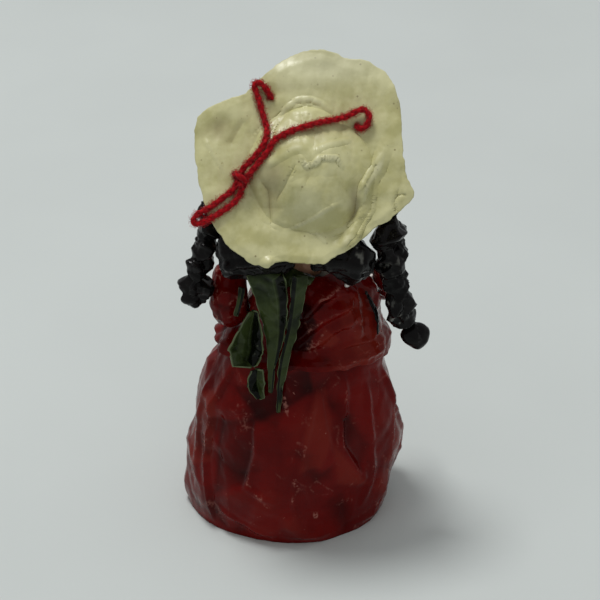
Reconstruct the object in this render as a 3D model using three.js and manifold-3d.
// A small standing doll of papier-mache: a red skirt and jacket on a wadded paper core, two arms on a
// shoulder wire, a head that turns on a bamboo stick, a wide cream hat tilted back like a halo, black
// braids, a green paper scarf, and a red yarn loop tied through two holes in the hat.
// Millimetres, +Z up. The origin is the centre of the base's underside, and the doll faces +Y.

import * as THREE from "three";
import { mergeVertices } from "three/addons/utils/BufferGeometryUtils.js";
import Module from "manifold-3d";

const wasm = await Module();
wasm.setup();

// ---------- driving dimensions ----------
const GAP = 0.4; // between pieces that touch on the real doll
const PAPER = 1.2; // layered paper wall
const SLIP = 0.6; // one folded slip of paper

const BASE = { x: 0.5, halfWidth: 25, halfDepth: 20.4, thick: 1.5 };
const SKIRT_TOP = 50.4;
const JACKET_BOTTOM = SKIRT_TOP + GAP;
const JACKET_TOP = 71.5;
const SHOULDER = { x: 4.7, y: 2.6, z: 67, wireRadius: 0.6, wireHalf: 18 };
const STICK = { x: 4, y: 0, radius: 1.5, top: 95 };
const NECK = { bottom: 69.8, top: 78.8 };
const HEAD = { x: STICK.x, y: 0, z: 93.5, radius: 13.5 };
const HAIR_OUTER = 14.9;
const HAT = { x: 4, y: -8, z: 104, lean: THREE.MathUtils.degToRad(54.5), thick: 1.4 };
const CROWN = { right: 2, up: -3, radius: 14, height: 6.2 };
const HEAD_HOLE = { right: 0.4, up: -3.8, radius: 9.8 };
const YARN_RADIUS = 0.75;
const YARN_HOLE_RADIUS = 1.1;
const TWIST_RADIUS = 1.5; // both strands of the yarn, side by side
const YARN_KNOT_RADIUS = 1.6;
const YARN_STOP_RADIUS = 1.3;

// ---------- paints ----------
const paint = (color, roughness, metalness = 0) => ({ color, roughness, metalness });
const RED = paint(0x7a120f, 0.3);
const CREAM = paint(0xd3cf9e, 0.55);
const BLACK = paint(0x0d0d10, 0.28);
const GREEN = paint(0x3d4a26, 0.45);
const WHITE = paint(0xd8d4c8, 0.6);
const SKIN = paint(0xc08a63, 0.45);
const NEWSPRINT = paint(0xb3ab98, 0.9);
const CARDBOARD = paint(0x9a7a52, 0.85);
const BAMBOO = paint(0xc9a96a, 0.6);
const WIRE = paint(0x9a9da0, 0.35, 1);
const YARN_PAINT = paint(0xa01018, 0.9);

// ---------- shape helpers ----------
const vec = (x, y, z) => new THREE.Vector3(x, y, z);
const smoothCurve = (points, closed = false) =>
  new THREE.CatmullRomCurve3(points.map((p) => vec(...p)), closed, "centripetal");

function piece(group, name, geometry, finish) {
  const mesh = new THREE.Mesh(geometry, new THREE.MeshStandardMaterial(finish));
  mesh.name = name;
  group.add(mesh);
}

// Moves each vertex of a geometry to where the function says.
function reshape(geometry, moved) {
  const position = geometry.getAttribute("position");
  const point = new THREE.Vector3();
  for (let i = 0; i < position.count; i += 1) {
    point.copy(moved(point.fromBufferAttribute(position, i)));
    position.setXYZ(i, point.x, point.y, point.z);
  }
  return geometry;
}

// A value read off a list of [position, value] pairs, on the straight line between the nearest two.
function along(stations, at) {
  const last = stations.length - 1;
  if (at <= stations[0][0]) return stations[0][1];
  for (let i = 0; i < last; i += 1) {
    const [from, a] = stations[i];
    const [to, b] = stations[i + 1];
    if (at <= to) return THREE.MathUtils.lerp(a, b, (at - from) / (to - from));
  }
  return stations[last][1];
}

// A round body that follows a curve, with its radius given from end to end.
function taperedTube(points, radii, steps = 14, sides = 12) {
  const curve = smoothCurve(points);
  const frames = curve.computeFrenetFrames(steps);
  const profile = [];
  for (let i = 0; i <= steps; i += 1) {
    const ends = i === 0 || i === steps;
    profile.push(new THREE.Vector2(ends ? 0 : along(radii, i / steps), i));
  }
  return reshape(new THREE.LatheGeometry(profile, sides), (p) => {
    const i = Math.round(p.y);
    const centre = curve.getPointAt(i / steps);
    return centre
      .addScaledVector(frames.normals[i], p.x)
      .addScaledVector(frames.binormals[i], -p.z);
  });
}

// The corners of a regular polygon that stands for a circle.
const circle = (x, y, radius, count) =>
  Array.from({ length: count }, (_, i) => {
    const angle = (2 * Math.PI * i) / count;
    return new THREE.Vector2(x + radius * Math.cos(angle), y + radius * Math.sin(angle));
  });

// A cord of even thickness along a curve.
function cord(points, radius = YARN_RADIUS, steps = 10) {
  const section = new THREE.Shape(circle(0, 0, radius, 8));
  return new THREE.ExtrudeGeometry(section, { steps, extrudePath: smoothCurve(points) });
}

// A slip of paper along a curve: width is given from end to end, and outward is the way it faces.
function slip(points, widths, outward, thick = SLIP, steps = 10) {
  const curve = smoothCurve(points);
  return reshape(new THREE.BoxGeometry(1, 1, 1, steps, 1, 1), (p) => {
    const t = p.x + 0.5;
    const centre = curve.getPointAt(t);
    const face = outward(centre);
    const across = face.clone().cross(curve.getTangentAt(t)).normalize();
    return centre
      .addScaledVector(across, p.y * along(widths, t))
      .addScaledVector(face, p.z * thick);
  });
}

// A body with an oval plan at each height. The outline lists [height, half width, half depth, centre x].
function ovalBody(outline, wall = 0, sides = 40) {
  const heights = outline.map((row) => row[0]);
  const halfWidths = outline.map((row) => [row[0], row[1]]);
  const halfDepths = outline.map((row) => [row[0], row[2]]);
  const centres = outline.map((row) => [row[0], row[3]]);
  const outer = heights.map((z) => new THREE.Vector2(1, z));
  const inner = heights.map((z) => new THREE.Vector2(0.5, z)).reverse();
  const profile = wall
    ? [...outer, ...inner, outer[0]]
    : [new THREE.Vector2(0, heights[0]), ...outer, new THREE.Vector2(0, heights.at(-1))];
  return reshape(new THREE.LatheGeometry(profile, sides).rotateX(Math.PI / 2), (p) => {
    const radius = Math.hypot(p.x, p.y);
    const inset = radius < 0.75 ? wall : 0;
    const scale = radius < 0.01 ? 0 : 1 / radius;
    return vec(
      along(centres, p.z) + p.x * scale * (along(halfWidths, p.z) - inset),
      p.y * scale * (along(halfDepths, p.z) - inset),
      p.z,
    );
  });
}

// ---------- cutting ----------
function asSolid(geometry) {
  const bare = new THREE.BufferGeometry().setAttribute("position", geometry.getAttribute("position"));
  bare.setIndex(geometry.index);
  const merged = mergeVertices(bare, 1e-3);
  const mesh = { numProp: 3, vertProperties: merged.attributes.position.array };
  return new wasm.Manifold(new wasm.Mesh({ ...mesh, triVerts: new Uint32Array(merged.index.array) }));
}

function cut(geometry, ...cutters) {
  const left = cutters.reduce((solid, cutter) => solid.subtract(asSolid(cutter)), asSolid(geometry));
  const mesh = left.getMesh();
  const result = new THREE.BufferGeometry();
  result.setAttribute("position", new THREE.BufferAttribute(mesh.vertProperties, 3));
  result.setIndex(new THREE.BufferAttribute(mesh.triVerts, 1));
  return result;
}

// An upright rod on the stick's axis, and a rod across the shoulders.
const stickBore = (top) =>
  new THREE.CylinderGeometry(STICK.radius + GAP, STICK.radius + GAP, top, 16)
    .rotateX(Math.PI / 2)
    .translate(STICK.x, STICK.y, top / 2);
const shoulderRod = (radius, half) =>
  new THREE.CylinderGeometry(radius, radius, 2 * half, 12)
    .rotateZ(Math.PI / 2)
    .translate(SHOULDER.x, SHOULDER.y, SHOULDER.z);
const wireBore = () => shoulderRod(SHOULDER.wireRadius + GAP, SHOULDER.wireHalf + GAP);

// ---------- base, skirt and core ----------
// [height, half width, half depth, centre x]
const SKIRT = [
  [0, 26.8, 22.2, 0.6],
  [6, 27.3, 22.4, 0.8],
  [20, 27.3, 22, 2.2],
  [30, 26.1, 21, 2.2],
  [37, 24.5, 19.6, 2.1],
  [43, 22.4, 17.6, 2.8],
  [SKIRT_TOP, 19.5, 15.6, 5],
];

function addSkirt(doll) {
  const disc = new THREE.CylinderGeometry(1, 1, BASE.thick, 40)
    .rotateX(Math.PI / 2)
    .scale(BASE.halfWidth, BASE.halfDepth, 1)
    .translate(BASE.x, 0, BASE.thick / 2);
  piece(doll, "base_board", disc, CARDBOARD);

  const inside = PAPER + GAP;
  const core = SKIRT.map(([z, w, d, x]) => [
    THREE.MathUtils.clamp(z, BASE.thick + GAP, SKIRT_TOP - GAP),
    w - inside,
    d - inside,
    x,
  ]);
  piece(doll, "skirt_core", cut(ovalBody(core), stickBore(SKIRT_TOP + 1)), NEWSPRINT);
  piece(doll, "skirt_shell", ovalBody(SKIRT, PAPER), RED);
  piece(doll, "skirt_lap_left", skirtSlip(-148, -131, 44.5, 6), RED);
  piece(doll, "skirt_pleat_right", skirtSlip(-72, -47, 45, 9), RED);
}

// The point of an oval outline at an angle (0 is +X, -90 is the back) and a height, held off it.
function onOval(outline, degrees, z, off) {
  const angle = THREE.MathUtils.degToRad(degrees);
  const read = (column) => along(outline.map((row) => [row[0], row[column]]), z);
  return [read(3) + (read(1) + off) * Math.cos(angle), (read(2) + off) * Math.sin(angle), z];
}

const awayFromStick = (p) => vec(p.x - STICK.x, p.y, 0).normalize();

// A long slip that runs down the skirt from one angle to another.
function skirtSlip(topAngle, bottomAngle, top, bottom) {
  const points = [0, 0.25, 0.5, 0.75, 1].map((t) =>
    onOval(
      SKIRT,
      THREE.MathUtils.lerp(topAngle, bottomAngle, t),
      THREE.MathUtils.lerp(top, bottom, t),
      GAP + 1,
    ),
  );
  return slip(points, [[0, 3], [0.5, 4.5], [1, 4]], awayFromStick, SLIP, 8);
}

// ---------- torso and jacket ----------
const JACKET = [
  [JACKET_BOTTOM, 19.2, 15.4, 5.5],
  [53.2, 17.1, 13.2, 7.4],
  [60, 16.5, 12.6, 7.3],
  [65, 14.9, 11.8, 6.6],
  [68, 12.9, 10.6, 5.8],
  [70.3, 10.6, 9.2, 4.8],
  [JACKET_TOP, 8, 7.6, 4.4],
];

// The hem band laps over the top of the skirt.
const HEM = [
  [47.4, 22.4, 18.1, 4.1],
  [50.2, 21.5, 17.5, 5],
  [52.4, 19.3, 15.9, 6.2],
];
const HEM_PAPER = 0.8;

const TORSO_CORE = [
  [JACKET_BOTTOM + GAP, 12.4, 11.2, 5.3],
  [60, 12.2, 10.8, 5.3],
  [66, 11.2, 9.2, 5.3],
  [68.8, 8.6, 7, 5],
];

function addJacket(doll) {
  piece(doll, "torso_core", cut(ovalBody(TORSO_CORE), stickBore(JACKET_TOP), wireBore()), NEWSPRINT);
  piece(doll, "jacket_shell", cut(ovalBody(JACKET, PAPER), wireBore()), RED);

  piece(doll, "jacket_hem", ovalBody(HEM, HEM_PAPER), RED);

  piece(doll, "jacket_fold_upper", jacketSlip(-96, -48, 61.5, 68.5, 2.6), RED);
  piece(doll, "jacket_fold_lower", jacketSlip(-98, -40, 56.5, 62.5, 2.4), RED);
  piece(doll, "jacket_seam_strip", jacketSlip(-33, -30, 55, 66.5, 1.6), BLACK);
}

// A diagonal slip across the jacket's back.
function jacketSlip(startAngle, endAngle, startZ, endZ, width) {
  const points = [0, 0.33, 0.67, 1].map((t) =>
    onOval(
      JACKET,
      THREE.MathUtils.lerp(startAngle, endAngle, t),
      THREE.MathUtils.lerp(startZ, endZ, t),
      GAP + 1.1,
    ),
  );
  return slip(points, [[0, width * 0.6], [0.5, width], [1, width * 0.7]], awayFromStick);
}

// ---------- stick, neck and shoulder wire ----------
function addInnerFrame(doll) {
  const bottom = BASE.thick + GAP;
  const stick = new THREE.CylinderGeometry(STICK.radius, STICK.radius, STICK.top - bottom, 16)
    .rotateX(Math.PI / 2)
    .translate(STICK.x, STICK.y, (STICK.top + bottom) / 2);
  piece(doll, "spine_stick", stick, BAMBOO);

  piece(doll, "shoulder_wire", shoulderRod(SHOULDER.wireRadius, SHOULDER.wireHalf), WIRE);

  const neck = [[NECK.bottom, 5.6], [74, 5.2], [NECK.top, 5.4]];
  const bore = STICK.radius + GAP;
  const outer = neck.map(([z, r]) => new THREE.Vector2(r, z));
  const profile = [
    ...outer,
    new THREE.Vector2(bore, NECK.top),
    new THREE.Vector2(bore, NECK.bottom),
    outer[0],
  ];
  const roll = new THREE.LatheGeometry(profile, 24).rotateX(Math.PI / 2).translate(STICK.x, STICK.y, 0);
  piece(doll, "neck_roll", roll, NEWSPRINT);
}

// ---------- arms ----------
const ARMS = {
  left: {
    sleeve: [[-13.8, 1.8, 70.6], [-14.1, 0, 65.6], [-14.1, -3.3, 59.6], [-13.7, 1, 56.4], [-13.2, 5, 56.2]],
    radii: [[0, 3], [0.2, 4.4], [0.5, 4.7], [0.9, 3.2], [1, 2.4]],
    cuff: [-13.1, 6.3, 56.3],
    hand: [-12.9, 10, 57.4],
  },
  right: {
    sleeve: [[23, 2.6, 70.2], [24.4, 3, 66], [25.9, 5.8, 60.5], [25.1, 9.2, 57.6], [24.1, 12.4, 57.4]],
    radii: [[0, 2.2], [0.2, 2.9], [0.5, 3], [0.9, 2.8], [1, 2.4]],
    cuff: [23.9, 13.7, 57.5],
    hand: [23.6, 17.4, 58.6],
  },
};

const CUFF = { outer: 3.1, inner: 2.9, long: 1.6 };
const HAND_HALF_SIZE = [2.2, 2.4, 1.8];

function addArm(doll, side) {
  const { sleeve, radii, cuff, hand } = ARMS[side];
  piece(doll, `${side}_sleeve`, cut(taperedTube(sleeve, radii, 14, 16), wireBore()), RED);
  const band = new THREE.CylinderGeometry(CUFF.outer, CUFF.inner, CUFF.long, 16).translate(...cuff);
  piece(doll, `${side}_cuff`, band, WHITE);
  const palm = new THREE.SphereGeometry(1, 12, 8).scale(...HAND_HALF_SIZE).translate(...hand);
  piece(doll, `${side}_hand`, palm, SKIN);
}

// ---------- head and hair ----------
const aroundHead = (direction, radius) =>
  vec(HEAD.x, HEAD.y, HEAD.z).addScaledVector(direction, radius).toArray();

function addHead(doll) {
  const ball = new THREE.SphereGeometry(HEAD.radius, 26, 16).translate(HEAD.x, HEAD.y, HEAD.z);
  piece(doll, "head", cut(ball, stickBore(STICK.top + GAP)), SKIN);

  // The cap is a bowl over the crown of the head, leaning back under the hat.
  const reach = THREE.MathUtils.degToRad(66);
  const arc = (radius, from, to) =>
    [0, 0.2, 0.4, 0.6, 0.8, 1].map((t) => {
      const angle = THREE.MathUtils.lerp(from, to, t);
      return new THREE.Vector2(radius * Math.sin(angle), radius * Math.cos(angle));
    });
  const profile = [...arc(HEAD.radius + GAP, 0, reach), ...arc(HAIR_OUTER, reach, 0)];
  profile[0].x = 0;
  profile.at(-1).x = 0;
  const cap = new THREE.LatheGeometry(profile, 26)
    .rotateX(Math.PI / 2 + THREE.MathUtils.degToRad(27))
    .translate(HEAD.x, HEAD.y, HEAD.z);
  piece(doll, "hair_cap", cap, BLACK);

  for (const [side, sign] of [["left", -1], ["right", 1]]) {
    const points = [8, 30, 52, 74, 96].map((degrees) => {
      const turn = THREE.MathUtils.degToRad(degrees);
      const direction = vec(sign * Math.sin(turn), 0.92 * Math.cos(turn) - 0.1, 0.62 * Math.cos(turn) + 0.05);
      return aroundHead(direction.normalize(), HEAD.radius + 1.9);
    });
    piece(doll, `forelock_${side}`, taperedTube(points, [[0, 0.7], [0.4, 1.4], [1, 0.9]], 10, 10), BLACK);
  }
}

const HAIR = {
  hair_wrap_left: {
    points: [[3, -13.4, 80.6], [-4, -12.4, 80.2], [-9.4, -10.8, 79], [-13.8, -8.8, 77]],
    radii: [[0, 2], [0.35, 3.3], [0.6, 3.5], [0.85, 4.4], [1, 3]],
  },
  hair_wrap_right: {
    points: [[6.6, -13.2, 80], [11.4, -12.8, 79], [15.8, -11.6, 77.6], [19, -10, 75.2]],
    radii: [[0, 2], [0.4, 3.2], [0.75, 4.2], [1, 2.6]],
  },
  left_braid: {
    points: [
      [-12.6, -2.4, 93], [-16.6, -3, 88], [-18.4, -3.6, 82], [-20.4, -4.2, 76], [-21.6, -4.6, 72],
      [-21.8, -5, 66], [-22.4, -5, 62],
    ],
    radii: [[0, 1.6], [0.2, 2.2], [0.4, 2.2], [0.65, 2.8], [0.9, 2.7], [1, 1.6]],
  },
  right_braid: {
    points: [
      [20.8, -3, 93.5], [24, -5, 88], [25.4, -7, 80.5], [25.8, -8.2, 72.5], [27.6, -8.6, 64.5],
      [29.8, -8.6, 58.5],
    ],
    radii: [[0, 1.8], [0.14, 3], [0.5, 3.1], [0.8, 2.8], [1, 1.8]],
  },
  right_braid_curl: {
    points: [[30.4, -8.6, 56.4], [31.4, -8.6, 55], [33, -8.4, 55], [33.7, -8.2, 57]],
    radii: [[0, 1.4], [0.4, 1.8], [1, 1]],
  },
};

function addHair(doll) {
  for (const [name, { points, radii }] of Object.entries(HAIR)) {
    piece(doll, name, taperedTube(points, radii, 14, 10), BLACK);
  }
}

// ---------- hat ----------
// In the hat's own frame, x is to the doll's right, y runs up the slope and z is out of the crown.
const HAT_OUTLINE = [
  [-24.4, 9.6], [-18, 13.6], [-12.6, 15.8], [-9.2, 19.4], [-2.4, 24.2], [2.4, 26], [9.8, 24],
  [16.6, 22.3], [21.4, 17.4], [23.3, 6.8], [24.2, -4], [26.2, -8.4], [22.5, -12.6], [16.7, -16.6],
  [8, -23], [3.6, -24.9], [-6, -24.2], [-8.4, -25.4], [-15, -22.4], [-21.3, -14.6], [-24.6, -1],
];
const YARN_HOLES = { left: [-7.3, 14.3], right: [12.8, 7.7] };

function addHat(hat) {
  const outline = smoothCurve(HAT_OUTLINE.map(([x, y]) => [x, y, 0]), true).getPoints(64).slice(1);
  const rim = new THREE.Shape(outline.map((p) => new THREE.Vector2(p.x, p.y)));
  rim.holes.push(new THREE.Path(circle(HEAD_HOLE.right, HEAD_HOLE.up, HEAD_HOLE.radius, 36)));
  for (const [x, y] of Object.values(YARN_HOLES)) {
    rim.holes.push(new THREE.Path(circle(x, y, YARN_HOLE_RADIUS, 10)));
  }
  const brim = new THREE.ExtrudeGeometry(rim, { depth: HAT.thick, bevelEnabled: false });
  piece(hat, "hat_brim", brim.translate(0, 0, -HAT.thick / 2), CREAM);

  const bowl = (radius, height, t) => new THREE.Vector2(radius * t, height * (1 - t * t));
  const steps = [0, 0.2, 0.4, 0.6, 0.8, 1];
  const outer = steps.map((t) => bowl(CROWN.radius, CROWN.height, t));
  const inner = steps.map((t) => bowl(CROWN.radius - PAPER, CROWN.height - PAPER, t));
  const dome = new THREE.LatheGeometry([...inner, ...outer.reverse()], 32).rotateX(Math.PI / 2);
  piece(hat, "hat_crown", dome.translate(CROWN.right, CROWN.up, HAT.thick / 2 + GAP), CREAM);
}

// ---------- hanging yarn ----------
// Each hook is the short bend of yarn between its hole and the line that the loop swings on.
const YARN = {
  hooks: {
    left: [[-7.3, 14.3, 1.6], [-8.1, 15.6, 2.5], [-9.4, 16.9, 2.9]],
    right: [[12.9, 7.7, 1.6], [14.8, 8.1, 2.4], [15.6, 9.6, 2.8]],
  },
  tails: {
    left: [[-11, 16.7, 2.6], [-10.2, 14, 2.4], [-9.1, 10, 2.4], [-8.2, 6.8, 2.9], [-7.4, 5.1, 4]],
    right: [
      [14, 11.4, 2.8], [9.8, 9.3, 2.7], [5.4, 8.2, 4.1], [2.6, 7.4, 5], [-0.2, 6.5, 5.5],
      [-3, 5.5, 5.5], [-5.2, 4.7, 5.2],
    ],
  },
  twist: [[-7.9, 3.2, 5.2], [-9.9, 0.4, 4.7], [-11.6, -2, 3.8], [-12.8, -3.3, 3.4]],
  knot: [-14.4, -4.9, 3.1],
  loop: [
    [-15.6, -6.8, 2.6], [-16.6, -8.2, 2.4], [-19, -10.1, 2.3], [-21.6, -11.8, 2.2], [-24, -13.3, 2.2],
    [-25, -14.6, 2.2], [-24, -15.6, 2.2], [-22, -14.9, 2.2], [-19.6, -13.6, 2.2], [-17.2, -11.9, 2.2],
    [-15, -10.2, 2.3], [-14, -8.6, 2.4], [-14, -7.3, 2.5],
  ],
};

function addYarn(hat) {
  for (const side of ["left", "right"]) {
    const [x, y] = YARN_HOLES[side];
    const knot = new THREE.SphereGeometry(YARN_STOP_RADIUS, 10, 6)
      .translate(x, y, -HAT.thick / 2 - YARN_STOP_RADIUS - GAP);
    piece(hat, `yarn_stop_${side}`, knot, YARN_PAINT);
    piece(hat, `yarn_hook_${side}`, cord(YARN.hooks[side], YARN_RADIUS, 5), YARN_PAINT);
    piece(hat, `yarn_tail_${side}`, cord(YARN.tails[side], YARN_RADIUS, 12), YARN_PAINT);
  }
  piece(hat, "yarn_twist", cord(YARN.twist, TWIST_RADIUS, 6), YARN_PAINT);
  const lump = new THREE.SphereGeometry(YARN_KNOT_RADIUS, 12, 8).translate(...YARN.knot);
  piece(hat, "yarn_knot", lump, YARN_PAINT);
  piece(hat, "yarn_loop", cord(YARN.loop, YARN_RADIUS, 20), YARN_PAINT);
}

// ---------- scarf ----------
const facingBack = () => vec(0, -1, 0);

const SCARF_TAILS = {
  scarf_tail_wide: {
    points: [
      [-4.8, -16.2, 77.4], [-3.4, -15.8, 70.5], [-2.7, -15.8, 61.6], [-2.9, -16.9, 56.3],
      [-3.5, -17.8, 51.2], [-3.8, -18, 44.4],
    ],
    widths: [[0, 8.4], [0.2, 7.4], [0.45, 5], [0.62, 3.2], [0.78, 1.7], [1, 1]],
  },
  scarf_tail_narrow: {
    points: [
      [3.6, -16.2, 77], [2.9, -15.9, 70], [1.5, -16.2, 60.8], [-0.1, -17.6, 54.8],
      [-1, -18.3, 49], [-1.9, -19.4, 39.4],
    ],
    widths: [[0, 3.4], [0.3, 2.4], [0.7, 1.6], [1, 0.7]],
  },
  scarf_tail_folded: {
    points: [[-7.6, -15.2, 66.5], [-8.7, -15.8, 61], [-9.5, -17, 56.5], [-10.2, -18.1, 52.6]],
    widths: [[0, 1.6], [0.35, 4.8], [0.7, 7.4], [1, 4.6]],
  },
  scarf_tip_short: {
    points: [[-7, -17.6, 50.9], [-7.3, -17.5, 46.6], [-6.2, -17.9, 42.6]],
    widths: [[0, 2.6], [0.5, 4], [1, 1.4]],
  },
  scarf_strand: {
    points: [[-10.4, -14.8, 72.8], [-11, -15.6, 69.4], [-11.9, -15.8, 65.4]],
    widths: [[0, 1.4], [1, 1]],
  },
};

function addScarf(doll) {
  // The band runs from behind the neck round the doll's left side to the front.
  const turn = [-74, -110, -146, 178, 142, 106, 70, 34].map((degrees) => THREE.MathUtils.degToRad(degrees));
  const points = turn.map((a) => [STICK.x + 12.9 * Math.cos(a), 12.2 * Math.sin(a), 74]);
  piece(doll, "scarf_band", taperedTube(points, [[0, 0.8], [0.15, 1.9], [0.85, 1.9], [1, 0.8]], 28, 10), GREEN);
  for (const [name, { points: route, widths }] of Object.entries(SCARF_TAILS)) {
    piece(doll, name, slip(route, widths, facingBack), GREEN);
  }
  piece(doll, "collar_patch", jacketSlip(-44, -22, 69.4, 69.2, 1.5), WHITE);
}

// ---------- assembly ----------
const doll = new THREE.Group();
addSkirt(doll);
addInnerFrame(doll);
addJacket(doll);
addArm(doll, "left");
addArm(doll, "right");
addScarf(doll);
addHead(doll);
addHair(doll);

const hat = new THREE.Group();
hat.position.set(HAT.x, HAT.y, HAT.z);
hat.rotation.x = HAT.lean;
addHat(hat);
addYarn(hat);
doll.add(hat);

export default doll;
